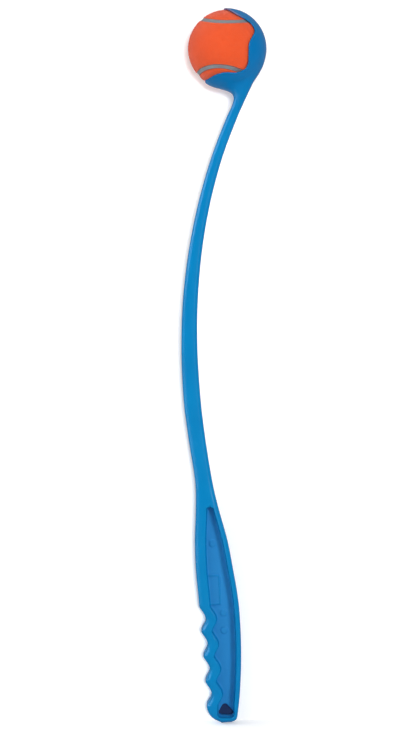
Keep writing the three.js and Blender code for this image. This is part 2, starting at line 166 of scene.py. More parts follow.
class Chart:
    """Distances worked out once over a flat grid, and read back between its points."""

    def __init__(self, low, high, step, distance_at):
        self.low, self.step = np.array(low, float), step
        counts = [int(math.ceil((top - base) / step)) + 1 for base, top in zip(low, high)]
        sides = [base + step * np.arange(count) for base, count in zip(low, counts)]
        points = np.stack(np.meshgrid(*sides, indexing="ij"), axis=-1).reshape(-1, 2)
        self.values = distance_at(points).reshape(counts)

    def at(self, first, second):
        short_of_end = 1.001
        places, shares = [], []
        for side, value in enumerate((first, second)):
            last = self.values.shape[side] - short_of_end
            value = np.clip((value - self.low[side]) / self.step, 0, last)
            places.append(np.floor(value).astype(int))
            shares.append(value - places[side])
        (i, j), (s, t) = places, shares
        low = self.values[i, j] * (1 - s) + self.values[i + 1, j] * s
        high = self.values[i, j + 1] * (1 - s) + self.values[i + 1, j + 1] * s
        return low * (1 - t) + high * t


def signed(outline):
    """Distance to an outline as a function of flat points, negative inside."""
    outline = np.array(outline, float)

    def distance_at(points):
        return line_distance(points, outline) * np.where(enclosed(points, outline), -1, 1)

    return distance_at


def on_ball(angle_places):
    """Directions for places on a chart of a ball: the distance from the chart's middle is the angle from
    the ball's pole, in radians."""
    angle = np.hypot(angle_places[:, 0], angle_places[:, 1])
    spread = np.sin(angle) / np.maximum(angle, 1e-9)
    return np.column_stack([angle_places * spread[:, None], np.cos(angle)])


def ball_places(directions):
    """Places on the chart of a ball for directions."""
    across = np.hypot(directions[..., 0], directions[..., 1])
    spread = np.arctan2(across, directions[..., 2]) / np.maximum(across, 1e-9)
    return directions[..., 0] * spread, directions[..., 1] * spread


def ball_chart(line, radius, reach):
    """A chart of the distance over a ball from a closed line of directions, negative on the pole's side."""
    outline = np.column_stack(ball_places(line))

    def distance_at(places):
        distance = line_distance(on_ball(places) * radius, line * radius)
        return distance * np.where(enclosed(places, outline), -1, 1)

    return Chart((-reach, -reach), (reach, reach), ball_chart_step, distance_at)


def round_meet(first, second, radius):
    """What two solids share, with a rounded edge."""
    outside = np.hypot(np.maximum(first + radius, 0), np.maximum(second + radius, 0))
    return np.minimum(np.maximum(first, second), -radius) + outside


def round_join(first, second, radius):
    """Two solids made one, with a fillet between them."""
    outside = np.hypot(np.maximum(radius - first, 0), np.maximum(radius - second, 0))
    return np.maximum(np.minimum(first, second), radius) - outside


def smooth_step(value):
    share = np.clip(value, 0, 1)
    return share * share * (3 - 2 * share)


def rounded_corners(corners, radius, steps=8):
    """Closed outline round corner middles given anticlockwise."""
    points = []
    count = len(corners)
    for at, corner in enumerate(corners):
        before, after = corners[at - 1], corners[(at + 1) % count]
        start = math.atan2(corner[1] - before[1], corner[0] - before[0]) - math.pi / 2
        end = math.atan2(after[1] - corner[1], after[0] - corner[0]) - math.pi / 2
        end += 2 * math.pi * (end < start)
        for angle in np.linspace(start, end, steps):
            points.append((corner[0] + radius * math.cos(angle), corner[1] + radius * math.sin(angle)))
    return points


bar = flow(bar_stations, station_steps)
groove_zone = groove_count * groove_pitch / 2
groove_phase = 2 * math.pi * (bar[:, 1] + groove_drop) / groove_pitch
groove_wave = groove_depth * ((1 - np.cos(groove_phase)) / 2) ** groove_sharpness
groove_wave *= np.abs(bar[:, 1] + groove_drop) < groove_zone
finger_line = bar[:, 0:2] + np.column_stack([groove_wave, 0 * groove_wave])
palm_line = bar[:, 2:4]
middle_line = (bar[:, 0:2] + palm_line) / 2
neck_row = neck_station * station_steps
neck_height = middle_line[neck_row, 1]
neck_reach = np.hypot(*(middle_line[neck_row:] - ball_middle[[0, 2]]).T)

# The grid that the skin is drawn on leans along the thrower's middle line and stands upright at the cup.
upright_reach = 45
cup_heights = [ball_middle[2] - upright_reach, ball_middle[2] + upright_reach]
lean_heights = np.concatenate([middle_line[:neck_row, 1], cup_heights])
lean_places = np.concatenate([middle_line[:neck_row, 0], [ball_middle[0], ball_middle[0]]])


def lean(z):
    return np.interp(z, lean_heights, lean_places)


def leaning(low, high, step, outline):
    distance_at = signed(outline)
    return Chart(low, high, step, lambda points: distance_at(points + np.outer(lean(points[:, 1]), (1, 0))))


bar_outline = np.vstack([finger_line[::2], palm_line[::-2]])
bar_chart = leaning(bar_chart_low, bar_chart_high, bar_chart_step, bar_outline)

foot_row, top_row = int(recess_foot_station * station_steps), handle_top_station * station_steps
recess_down = finger_line[foot_row:top_row + 1:2][::-1] + (finger_rim, 0)
recess_up = palm_line[foot_row:top_row + 1:2] - (palm_rim, 0)
hole_outline = rounded_corners(hole_corners, hole_radius)
ledge = [point for point in rounded_corners(hole_corners, hole_radius + hole_ledge) if point[1] < ledge_top]
recess_tip = recess_up[-1] * recess_point + recess_down[0] * (1 - recess_point) + (0, recess_point_lead)
recess_outline = np.vstack([recess_down, ledge, recess_up, recess_tip])
recess_chart = leaning(recess_chart_low, recess_chart_high, recess_chart_step, recess_outline)
hole_chart = Chart(hole_chart_low, hole_chart_high, hole_chart_step, signed(hole_outline))

rim_half = flow(rim_degrees, rim_steps)
rim_loop = np.radians(np.vstack([rim_half, (rim_half[1:-1] * (-1, 1))[::-1]]))
# Seen from the cup's back pole: first across is over the mouth, second the near side.
rim_line = np.column_stack([
    np.sin(rim_loop[:, 1]) * np.cos(rim_loop[:, 0]),
    np.sin(rim_loop[:, 1]) * np.sin(rim_loop[:, 0]),
    -np.cos(rim_loop[:, 1]),
])
rim_chart = ball_chart(rim_line, cavity_radius + cup_wall / 2, rim_chart_reach)
cup_axes = np.array([
    [math.sin(mouth_rise), 0, math.cos(mouth_rise)],
    [0, -1, 0],
    [math.cos(mouth_rise), 0, -math.sin(mouth_rise)],
])


def web_marks(x, z):
    """Height of the bare plate and the ejector pins' marks over the web."""
    turned = np.cos(plate_lean) * (x - plate_middle[0]) + np.sin(plate_lean) * (z - plate_middle[1])
    upright = np.cos(plate_lean) * (z - plate_middle[1]) - np.sin(plate_lean) * (x - plate_middle[0])
    across = np.abs(turned) - plate_half[0] + plate_corner
    along = np.abs(upright) - plate_half[1] + plate_corner
    plate = np.hypot(np.maximum(across, 0), np.maximum(along, 0)) + np.minimum(np.maximum(across, along), 0)
    plate -= plate_corner
    height = plate_height * smooth_step(0.5 - plate / mark_softness)
    border = np.abs(plate + plate_border) - plate_border / 2
    height += plate_border_height * smooth_step(0.5 - border / mark_softness)
    for pin_x, pin_z in pin_marks:
        pin = np.hypot(x - pin_x, z - pin_z) - pin_radius
        height += pin_height * smooth_step(0.5 - pin / mark_softness)
    return height


def bar_solid(x, y, z):
    """Distance into the handle, shaft and neck, negative inside."""
    edge = bar_chart.at(x - lean(z), z)
    reach = np.hypot(x - ball_middle[0], z - ball_middle[2])
    form = [
        np.where(
            z < neck_height,
            np.interp(z, middle_line[:neck_row, 1], bar[:neck_row, column]),
            np.interp(-reach, -neck_reach, bar[neck_row:, column]),
        )
        for column in (4, 5)
    ]
    crown = face_crown * smooth_step(-edge / crown_reach)
    return round_meet(edge, np.abs(y) - form[0] / 2 - crown, form[1])


def handle_cuts(solid, x, y, z):
    """The bar with a recess in each side of the handle and the hang hole."""
    rise = np.abs(y) - web_face
    recess = recess_chart.at(x - lean(z), z) - recess_draft * rise / (handle_face - web_face)
    solid = round_meet(solid, -round_meet(recess, web_marks(x, z) - rise, recess_fillet), recess_edge)
    return round_meet(solid, -hole_chart.at(x, z), hole_edge)


def cup_solid(x, y, z):
    offset = np.stack(np.broadcast_arrays(x - ball_middle[0], y, z - ball_middle[2]), axis=-1)
    reach = np.sqrt(np.sum(offset**2, axis=-1))
    rim = rim_chart.at(*ball_places(offset @ cup_axes.T))
    near_rim, aside = smooth_step(1 + rim / rim_reach), smooth_step(np.abs(y) / tip_reach)
    inner = cavity_radius + rim_relief * near_rim * aside
    half_wall = (cup_wall - tip_thinning * near_rim * (1 - aside)) / 2
    wall = np.abs(reach - inner - half_wall) - half_wall
    return round_meet(rim, wall, rim_rounding), reach


def thrower_solid(x, y, z):
    solid = bar_solid(x, y, z)
    if np.min(z) < recess_zone_top:
        solid = np.where(z < recess_zone_top, handle_cuts(solid, x, y, z), solid)
    if np.max(z) > cup_zone_foot:
        cup, reach = cup_solid(x, y, z)
        trimmed = np.maximum(solid, cavity_radius + cup_wall / 2 - reach)
        joined = np.maximum(round_join(trimmed, cup, neck_fillet), cavity_radius - reach)
        solid = np.where(z > cup_zone_foot, joined, solid)
    return solid


def skin(solid_at, blocks, sides, lean_at):
    """Closed quads over a solid on a grid of uneven steps. Every cell that the surface passes through
    gets one corner, which is then moved onto the surface."""
    far_outside, nudge, longest_move, least_slope = 10.0, 0.02, 0.4, 0.25
    counts = [len(side) for side in sides]
    values = np.full(counts, far_outside)
    for block in blocks:
        cut = tuple(slice(*np.searchsorted(side, limits)) for side, limits in zip(sides, block))
        across, out, up = [side[part] for side, part in zip(sides, cut)]
        up = up[None, None, :]
        values[cut] = solid_at(across[:, None, None] + lean_at(up), out[None, :, None], up)
    steps = [(i, j, k) for i in (0, 1) for j in (0, 1) for k in (0, 1)]
    corner_values = {
        step: values[tuple(slice(s, n - 1 + s) for s, n in zip(step, counts))] for step in steps
    }
    filled = sum((corner < 0).astype(np.int8) for corner in corner_values.values())
    mixed = (filled > 0) & (filled < 8)
    cells = np.argwhere(mixed)
    number = np.full(mixed.shape, -1)
    number[mixed] = np.arange(len(cells))

    total, crossings = np.zeros((len(cells), 3)), np.zeros(len(cells))
    for start in steps:
        for axis in range(3):
            if start[axis]:
                continue
            end = tuple(s + (axis == at) for at, s in enumerate(start))
            first, second = corner_values[start][mixed], corner_values[end][mixed]
            crossed = (first < 0) != (second < 0)
            share = first / np.where(crossed, first - second, 1)
            for side in range(3):
                base = sides[side][cells[:, side] + start[side]]
                top = sides[side][cells[:, side] + end[side]]
                total[:, side] += np.where(crossed, base + share * (top - base), 0)
            crossings += crossed
    points = total / crossings[:, None]
    points[:, 0] += lean_at(points[:, 2])

    for _ in range(surface_moves):
        here = solid_at(*points.T)
        slope = np.column_stack([
            (solid_at(*(points + push).T) - solid_at(*(points - push).T)) / (2 * nudge)
            for push in np.eye(3) * nudge
        ])
        steep = np.maximum(np.sum(slope**2, axis=1), least_slope)
        points -= np.clip(here, -longest_move, longest_move)[:, None] * slope / steep[:, None]

    quads = []
    inside = values < 0
    for axis in range(3):
        first = [slice(1, -1)] * 3
        second = [slice(1, -1)] * 3
        first[axis], second[axis] = slice(0, -1), slice(1, None)
        low, high = inside[tuple(first)], inside[tuple(second)]
        one, two = [other for other in range(3) if other != axis]
        for leaving in (True, False):
            edges = np.argwhere((low != high) & (low == leaving))
            for other in (one, two):
                edges[:, other] += 1
            ring = []
            for back_one, back_two in ((1, 1), (0, 1), (0, 0), (1, 0)):
                cell_at = edges.copy()
                cell_at[:, one] -= back_one
                cell_at[:, two] -= back_two
                ring.append(number[tuple(cell_at.T)])
            turned = leaving == (axis != 1)
            quads.append(np.column_stack(ring if turned else ring[::-1]))
    return points, np.vstack(quads)


def add_mesh(name, points, faces, material):
    """A smooth-shaded object from points in metres."""
    mesh = bpy.data.meshes.new(name)
    mesh.from_pydata([tuple(point) for point in points], [], [tuple(face) for face in faces])
    mesh.shade_smooth()
    mesh.materials.append(material)
    piece = bpy.data.objects.new(name, mesh)
    bpy.context.scene.collection.objects.link(piece)
    return piece


def colour(code):
    """An sRGB hex colour as linear RGBA."""
    parts = [int(code[at:at + 2], 16) / 255 for at in (0, 2, 4)]
    linear = [part / 12.92 if part <= 0.04045 else ((part + 0.055) / 1.055) ** 2.4 for part in parts]
    return (*linear, 1.0)


def add_node(tree, kind, inputs=None, **settings):
    """A node of a tree with its settings. An input is a value, or the output that is linked to it."""
    made = tree.nodes.new(kind)
    for name, value in settings.items():
        setattr(made, name, value)
    for name, value in (inputs or {}).items():
        if isinstance(value, bpy.types.NodeSocket):
            tree.links.new(value, made.inputs[name])
        else:
            made.inputs[name].default_value = value
    return made


def new_material(name):
    """An empty material and its node tree."""
    material = bpy.data.materials.new(name)
    material.use_nodes = True
    material.node_tree.nodes.clear()
    return material, material.node_tree


# Polypropylene, injection moulded in a fine spark-eroded tool: satin, evenly dyed, with a grain that
# breaks up its reflections and a faint waviness where the thick parts sank as they cooled. The real
# grain is about 0.1 mm; it is drawn at 0.6 mm so that it shows. The web of the cored sides has a rougher,
# coarser grain and is painted paler, a painted sheen; the cup is painted a deeper blue from the neck up,
# a painted shade; and the thin end of its top lip is painted pale lavender, a painted highlight.
blue_moulding, tree = new_material("blue_polypropylene_satin_moulded")
place = add_node(tree, "ShaderNodeTexCoord").outputs["Object"]
dye = add_node(tree, "ShaderNodeTexNoise", {"Vector": place, "Scale": 1 / 0.03, "Detail": 2.0})
blue = add_node(
    tree,
    "ShaderNodeMix",
    {"Factor": dye.outputs["Fac"], "A": colour("047CBA"), "B": colour("0487C4")},
    data_type="RGBA",
)
height = add_node(tree, "ShaderNodeSeparateXYZ", {"Vector": place}).outputs["Z"]
# Painted shade: the cup is painted a deeper blue from the neck up, over Z 0.47 to 0.512 m.
cup_painted_shade = add_node(
    tree, "ShaderNodeMapRange", {"Value": height, "From Min": 0.47, "From Max": 0.512}
)
# The cored web's share roughens it and also paints it paler, a painted sheen.
cored = add_node(tree, "ShaderNodeAttribute", attribute_name="cored_side").outputs["Fac"]
# Painted highlight: the end of the top lip is painted pale lavender.
lip_highlight = add_node(tree, "ShaderNodeAttribute", attribute_name="painted_lip_highlight").outputs["Fac"]
# Mixed over the dye: painted shade on the cup, a painted sheen on the web and a painted highlight on the
# top lip's end.
for share, shade in (
    (cup_painted_shade.outputs["Result"], "0272B2"),
    (cored, "288ACB"),
    (lip_highlight, "75739A"),
):
    blue = add_node(
        tree,
        "ShaderNodeMix",
        {"Factor": share, "A": blue.outputs[2], "B": colour(shade)},
        data_type="RGBA",
    )
grain = add_node(tree, "ShaderNodeTexNoise", {"Vector": place, "Scale": 1 / 0.0006, "Detail": 3.0})
sink = add_node(tree, "ShaderNodeTexNoise", {"Vector": place, "Scale": 1 / 0.014, "Detail": 1.0})
satin = add_node(
    tree, "ShaderNodeMapRange", {"Value": grain.outputs["Fac"], "To Min": 0.22, "To Max": 0.28}
)
satin = add_node(
    tree, "ShaderNodeMath", {0: cored, 1: 0.25, 2: satin.outputs["Result"]}, operation="MULTIPLY_ADD"
)
waviness = add_node(
    tree, "ShaderNodeBump", {"Height": sink.outputs["Fac"], "Strength": 0.35, "Distance": 0.0004}
)
surface = add_node(
    tree,
    "ShaderNodeBump",
    {
        "Height": grain.outputs["Fac"],
        "Normal": waviness.outputs["Normal"],
        "Strength": 0.25,
        "Distance": 0.00005,
    },
)
plastic = add_node(
    tree,
    "ShaderNodeBsdfPrincipled",
    {
        "Base Color": blue.outputs[2],
        "Roughness": satin.outputs["Value"],
        "Normal": surface.outputs["Normal"],
        "IOR": 1.49,
        "Specular IOR Level": 0.13,
    },
)
add_node(tree, "ShaderNodeOutputMaterial", {"Surface": plastic.outputs["BSDF"]})


def both_ways(steps):
    return np.unique(np.concatenate([-np.array(steps), steps]))


web_zone, side_start, side_reach, across_reach = 3.6, 4.25, 37.5, 38.5
butt_height, shaft_foot, shaft_top, cup_top = -60.7, 131, 468, 569.5
side_lines = both_ways(
    np.concatenate([
        np.arange(web_cell / 2, web_zone, web_cell),
        np.arange(side_start, side_reach, cell),
    ])
)
across_lines = both_ways(np.arange(cell / 2, across_reach, cell))
height_lines = np.concatenate([
    np.arange(butt_height, shaft_foot, cell),
    np.arange(shaft_foot, shaft_top, shaft_cell),
    np.arange(shaft_top, cup_top, cell),
])
bar_block = ((-22, 22), (-13, 13), (butt_height, shaft_top))
cup_block = ((-40, 40), (-40, 40), (shaft_top, cup_top))
grid = (across_lines, side_lines, height_lines)
points, quads = skin(thrower_solid, [bar_block, cup_block], grid, lean)
thrower = add_mesh("thrower_moulding", points * MM, quads, blue_moulding)
# How far each point lies in the cored web: this share roughens the web and paints it paler, a painted
# sheen.
cored_depth = -recess_chart.at(points[:, 0] - lean(points[:, 2]), points[:, 2])
cored_share = smooth_step(cored_depth) * (points[:, 2] < recess_zone_top)
off_web = np.abs(points[:, 1]) - web_face
cored_share *= smooth_step(1.5 - off_web / web_coarse_reach)
thrower.data.attributes.new("cored_side", "FLOAT", "POINT").data.foreach_set("value", cored_share)
# Painted highlight: points near the rim and high above the ball's middle get the pale lavender of the top
# lip's end.
from_ball = points - ball_middle
lip_depth = rim_chart.at(*ball_places(from_ball @ cup_axes.T))
lip_highlight_share = smooth_step(1 + lip_depth / lip_highlight_reach)
lip_highlight_share *= smooth_step((from_ball[:, 2] - lip_highlight_rise) / lip_highlight_fade)
thrower.data.attributes.new("painted_lip_highlight", "FLOAT", "POINT").data.foreach_set("value", lip_highlight_share)
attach(thrower, "thrower")
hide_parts("thrower")

# Ball core: two half shells of dark rubber, moulded and then glued edge to edge. Felt and seam hide
# them. The CAD halves are the right shape and stay.

# Filled natural rubber as it leaves the mould: matt, nearly black, with a dusty bloom.
core_rubber, tree = new_material("moulded_dark_rubber")
place = add_node(tree, "ShaderNodeTexCoord").outputs["Object"]
bloom = add_node(tree, "ShaderNodeTexNoise", {"Vector": place, "Scale": 1 / 0.004, "Detail": 4.0})
dust = add_node(
    tree,
    "ShaderNodeMix",
    {"Factor": bloom.outputs["Fac"], "A": colour("2E2C2A"), "B": colour("47443F")},
    data_type="RGBA",
)
bumps = add_node(
    tree, "ShaderNodeBump", {"Height": bloom.outputs["Fac"], "Strength": 0.3, "Distance": 0.0002}
)
rubber = add_node(
    tree,
    "ShaderNodeBsdfPrincipled",
    {"Base Color": dust.outputs[2], "Roughness": 0.8, "Normal": bumps.outputs["Normal"], "IOR": 1.52},
)
add_node(tree, "ShaderNodeOutputMaterial", {"Surface": rubber.outputs["BSDF"]})
for name in ("core_half_near", "core_half_far"):
    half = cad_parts[name]
    half.data.materials.clear()
    half.data.materials.append(core_rubber)

# Felt panels: two dog-bone pieces of orange needled felt, glued over the core. Their edges roll down
# into the seam, and teased fibres stand off the face in a short nap.

ball_radius, felt_thickness = 33.5, 3.0
seam_wave, seam_width, piece_gap = 0.208, 3.3, 0.3
felt_edge_roll = 0.8
nap_rise, nap_spacing = 0.16, 2.2
pole_yaw, pole_pitch, seam_roll = math.radians(-10.5), math.radians(91.3), math.radians(41.2)
ball_turn = (
    Matrix.Rotation(pole_yaw, 3, "Z")
    @ Matrix.Rotation(pole_pitch, 3, "X")
    @ Matrix.Rotation(seam_roll, 3, "Z")
)
ball_place = Matrix.Translation(Vector(ball_middle * MM)) @ ball_turn.to_4x4()
seam_main = 1 - seam_wave


def seam_directions(turn):
    """Directions along the seam from the ball's middle, its poles on Z."""
    line = np.column_stack([
        seam_main * np.cos(turn) + seam_wave * np.cos(3 * turn),
        seam_main * np.sin(turn) - seam_wave * np.sin(3 * turn),
        2 * math.sqrt(seam_main * seam_wave) * np.sin(2 * turn),
    ])
    return line / np.linalg.norm(line, axis=1)[:, None]


seam_steps = 300
seam_line = seam_directions(np.linspace(0, 2 * math.pi, seam_steps, endpoint=False))
seam_chart = ball_chart(seam_line, ball_radius, math.pi)


def felt_solid(x, y, z):
    offset = np.stack(np.broadcast_arrays(x, y, z), axis=-1)
    reach = np.sqrt(np.sum(offset**2, axis=-1))
    edge = seam_chart.at(*ball_places(offset)) + seam_width / 2 + piece_gap
    wall = np.abs(reach - ball_radius + felt_thickness / 2) - felt_thickness / 2
    inner = reach - ball_radius + felt_thickness
    return np.maximum(round_meet(edge, wall, felt_edge_roll), -inner)


felt_cell = 0.8
felt_reach = ball_radius + 2
felt_lines = both_ways(np.arange(felt_cell / 2, felt_reach, felt_cell))
felt_block = ((-felt_reach, felt_reach),) * 3
felt_points, felt_quads = skin(felt_solid, [felt_block], (felt_lines,) * 3, lambda z: 0 * z)

# Needled wool and nylon felt, dyed orange: matt, mottled from tuft to tuft, with a soft bright edge where
# the fibres catch the light. Tufts are about 2 mm across. Single fibres are far finer than 0.5 mm, and
# are drawn at that so that they show.
orange_felt, tree = new_material("orange_needled_felt")
place = add_node(tree, "ShaderNodeTexCoord").outputs["Object"]
tufts = add_node(
    tree, "ShaderNodeTexNoise", {"Vector": place, "Scale": 1 / 0.0022, "Detail": 3.0, "Roughness": 0.6}
)
fibres = add_node(
    tree,
    "ShaderNodeTexNoise",
    {"Vector": place, "Scale": 1 / 0.0005, "Detail": 2.0, "Distortion": 1.5},
)
mottle = add_node(
    tree,
    "ShaderNodeMix",
    {"Factor": tufts.outputs["Fac"], "A": colour("EA5020"), "B": colour("F86E40")},
    data_type="RGBA",
)
strands = add_node(
    tree,
    "ShaderNodeMix",
    {"Factor": fibres.outputs["Fac"], "A": colour("F0541E"), "B": mottle.outputs[2]},
    data_type="RGBA",
)
heights = add_node(
    tree, "ShaderNodeMath", {0: tufts.outputs["Fac"], 1: fibres.outputs["Fac"]}, operation="ADD"
)
fuzz = add_node(
    tree, "ShaderNodeBump", {"Height": heights.outputs["Value"], "Strength": 0.6, "Distance": 0.0003}
)
felt = add_node(
    tree,
    "ShaderNodeBsdfPrincipled",
    {
        "Base Color": strands.outputs[2],
        "Roughness": 0.95,
        "Normal": fuzz.outputs["Normal"],
        "Sheen Weight": 0.25,
        "Sheen Roughness": 0.5,
        "Specular IOR Level": 0.2,
    },
)
add_node(tree, "ShaderNodeOutputMaterial", {"Surface": felt.outputs["BSDF"]})

nap_texture = bpy.data.textures.new("felt_nap", "CLOUDS")
nap_texture.noise_scale = nap_spacing * MM
nap_texture.noise_depth = 2


def fibre_tree():
    """Scatters short leaning fibres over the felt's outside."""
    nap = bpy.data.node_groups.new("felt_fibres", "GeometryNodeTree")
    sockets = (
        ("Geometry", "NodeSocketGeometry", None),
        ("Fibre length", "NodeSocketFloat", 0.0009),
        ("Fibre thickness", "NodeSocketFloat", 0.00009),
        ("Fibres per square metre", "NodeSocketFloat", 1.6e6),
        ("Seed", "NodeSocketInt", 7),
        ("Ball middle", "NodeSocketVector", None),
        ("Inner reach", "NodeSocketFloat", 0.0325),
        ("Fibre material", "NodeSocketMaterial", None),
    )
    for name, kind, value in sockets:
        socket = nap.interface.new_socket(name, in_out="INPUT", socket_type=kind)
        if value is not None:
            socket.default_value = value
    nap.interface.new_socket("Geometry", in_out="OUTPUT", socket_type="NodeSocketGeometry")
    given = add_node(nap, "NodeGroupInput").outputs
    place = add_node(nap, "GeometryNodeInputPosition").outputs["Position"]
    offset = add_node(
        nap, "ShaderNodeVectorMath", {0: place, 1: given["Ball middle"]}, operation="SUBTRACT"
    )
    reach = add_node(nap, "ShaderNodeVectorMath", {0: offset.outputs["Vector"]}, operation="LENGTH")
    outside = add_node(
        nap,
        "FunctionNodeCompare",
        {"A": reach.outputs["Value"], "B": given["Inner reach"]},
        operation="GREATER_THAN",
    )
    spots = add_node(
        nap,
        "GeometryNodeDistributePointsOnFaces",
        {
            "Mesh": given["Geometry"],
            "Selection": outside.outputs["Result"],
            "Density": given["Fibres per square metre"],
            "Seed": given["Seed"],
        },
    )
    spike = add_node(
        nap,
        "GeometryNodeMeshCone",
        {
            "Vertices": 3,
            "Radius Bottom": given["Fibre thickness"],
            "Radius Top": 0.0,
            "Depth": given["Fibre length"],
        },
    )
    tilt = add_node(
        nap,
        "FunctionNodeRandomValue",
        {"Min": (-1.1, -1.1, 0.0), "Max": (1.1, 1.1, 6.28), "Seed": given["Seed"]},
        data_type="FLOAT_VECTOR",
    )
    tip_over = add_node(nap, "FunctionNodeEulerToRotation", {"Euler": tilt.outputs[0]})
    tilted = add_node(
        nap,
        "FunctionNodeRotateRotation",
        {"Rotation": spots.outputs["Rotation"], "Rotate By": tip_over.outputs["Rotation"]},
        rotation_space="LOCAL",
    )
    fibres = add_node(
        nap,
        "GeometryNodeInstanceOnPoints",
        {
            "Points": spots.outputs["Points"],
            "Instance": spike.outputs["Mesh"],
            "Rotation": tilted.outputs["Rotation"],
        },
    )
    real = add_node(nap, "GeometryNodeRealizeInstances", {"Geometry": fibres.outputs["Instances"]})
    dyed = add_node(
        nap,
        "GeometryNodeSetMaterial",
        {"Geometry": real.outputs["Geometry"], "Material": given["Fibre material"]},
    )
    both = add_node(nap, "GeometryNodeJoinGeometry")
    nap.links.new(dyed.outputs["Geometry"], both.inputs["Geometry"])
    nap.links.new(given["Geometry"], both.inputs["Geometry"])
    add_node(nap, "NodeGroupOutput", {"Geometry": both.outputs["Geometry"]})
    return nap


def settle(piece):
    """Turns a piece's modifiers into plain mesh."""
    bpy.context.view_layer.update()
    evaluated = piece.evaluated_get(bpy.context.evaluated_depsgraph_get())
    mesh = bpy.data.meshes.new_from_object(evaluated)
    piece.modifiers.clear()
    piece.data = mesh


def set_input(modifier, name, value):
    for item in modifier.node_group.interface.items_tree:
        if item.name == name and item.in_out == "INPUT":
            modifier[item.identifier] = value


fibres_tree = fibre_tree()
half_turn = Matrix.Rotation(math.pi, 4, "X")
for name, turn in (("felt_panel_near", Matrix.Identity(4)), ("felt_panel_far", half_turn)):
    panel = add_mesh(name + "_dressed", felt_points * MM, felt_quads, orange_felt)
    panel.data.transform(ball_place @ turn)
    nap = panel.modifiers.new("nap", "DISPLACE")
    nap.texture = nap_texture
    nap.texture_coords = "LOCAL"
    nap.strength = 2 * nap_rise * MM
    nap.mid_level = 0.6
    teased = panel.modifiers.new("fibres", "NODES")
    teased.node_group = fibres_tree
    set_input(teased, "Ball middle", tuple(ball_middle * MM))
    set_input(teased, "Fibre material", orange_felt)
    settle(panel)
    panel.data.shade_smooth()
    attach(panel, "ball")
    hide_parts(name)

# Seam: one closed band of grey rubber cement, vulcanised into the groove between the felt panels. Its
# face is a little hollow and lies just below the felt.

seam_sink, seam_hollow, face_points = 0.25, 0.15, 9

# Grey vulcanised rubber cement: matt, mottled between a mauve grey and a green grey, with fine pores.
grey_rubber, tree = new_material("grey_vulcanised_rubber")
place = add_node(tree, "ShaderNodeTexCoord").outputs["Object"]
patches = add_node(tree, "ShaderNodeTexNoise", {"Vector": place, "Scale": 1 / 0.006, "Detail": 3.0})
speckle = add_node(tree, "ShaderNodeTexNoise", {"Vector": place, "Scale": 1 / 0.0007, "Detail": 2.0})
greys = add_node(
    tree,
    "ShaderNodeMix",
    {"Factor": patches.outputs["Fac"], "A": colour("7A6C72"), "B": colour("7E9094")},
    data_type="RGBA",
)
pores = add_node(
    tree, "ShaderNodeBump", {"Height": speckle.outputs["Fac"], "Strength": 0.4, "Distance": 0.0001}
)
cement = add_node(
    tree,
    "ShaderNodeBsdfPrincipled",
    {"Base Color": greys.outputs[2], "Roughness": 0.7, "Normal": pores.outputs["Normal"], "IOR": 1.52},
)
add_node(tree, "ShaderNodeOutputMaterial", {"Surface": cement.outputs["BSDF"]})


def seam_tree():
    """Sweeps the band's section along the seam, square to the ball."""
    band = bpy.data.node_groups.new("seam_band", "GeometryNodeTree")
    sockets = (
        ("Geometry", "NodeSocketGeometry"),
        ("Section", "NodeSocketObject"),
        ("Band material", "NodeSocketMaterial"),
    )
    for name, kind in sockets:
        band.interface.new_socket(name, in_out="INPUT", socket_type=kind)
    band.interface.new_socket("Geometry", in_out="OUTPUT", socket_type="NodeSocketGeometry")
    given = add_node(band, "NodeGroupInput").outputs
    path = add_node(band, "GeometryNodeMeshToCurve", {"Mesh": given["Geometry"]})
    place = add_node(band, "GeometryNodeInputPosition").outputs["Position"]
    faced = add_node(
        band, "GeometryNodeSetCurveNormal", {"Curve": path.outputs["Curve"], "Normal": place}, mode="FREE"
    )
    section = add_node(band, "GeometryNodeObjectInfo", {"Object": given["Section"]})
    ring = add_node(band, "GeometryNodeMeshToCurve", {"Mesh": section.outputs["Geometry"]})
    swept = add_node(
        band,
        "GeometryNodeCurveToMesh",
        {"Curve": faced.outputs["Curve"], "Profile Curve": ring.outputs["Curve"]},
    )
    real = add_node(band, "GeometryNodeRealizeInstances", {"Geometry": swept.outputs["Mesh"]})
    dyed = add_node(
        band,
        "GeometryNodeSetMaterial",
        {"Geometry": real.outputs["Geometry"], "Material": given["Band material"]},
    )
    add_node(band, "NodeGroupOutput", {"Geometry": dyed.outputs["Geometry"]})
    return band


seam_turns = 240
seam_path = seam_directions(np.linspace(0, 2 * math.pi, seam_turns, endpoint=False))
seam_path = seam_path * (ball_radius - seam_sink) * MM
loop = bpy.data.meshes.new("seam_path")
seam_edges = [(at, (at + 1) % seam_turns) for at in range(seam_turns)]
loop.from_pydata([tuple(point) for point in seam_path], seam_edges, [])
seam = bpy.data.objects.new("seam_band", loop)
bpy.context.scene.collection.objects.link(seam)

half_width, drop = seam_width / 2, felt_thickness - seam_sink
face = [(half_width * t, -seam_hollow * (1 - t * t)) for t in np.linspace(-1, 1, face_points)]
section_points = [(y * MM, x * MM, 0.0) for x, y in face + [(half_width, -drop), (-half_width, -drop)]]
section_mesh = bpy.data.meshes.new("seam_section")
count = len(section_points)
section_mesh.from_pydata(section_points, [(at, (at + 1) % count) for at in range(count)], [])
section = bpy.data.objects.new("seam_section", section_mesh)
bpy.context.scene.collection.objects.link(section)
sweep = seam.modifiers.new("band", "NODES")
sweep.node_group = seam_tree()
set_input(sweep, "Section", section)
set_input(sweep, "Band material", grey_rubber)
settle(seam)
bpy.data.objects.remove(section)
seam.data.transform(ball_place)
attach(seam, "ball")
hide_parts("seam_strip")

# Studio: a white paper sheet that leans back just behind the thrower, so that it all but touches the handle
# and clears the cup, and a pale floor under the butt. One lamp near the lens lights the paper and draws the
# thrower's narrow shadow on it, and one from the palm side lights the thrower.

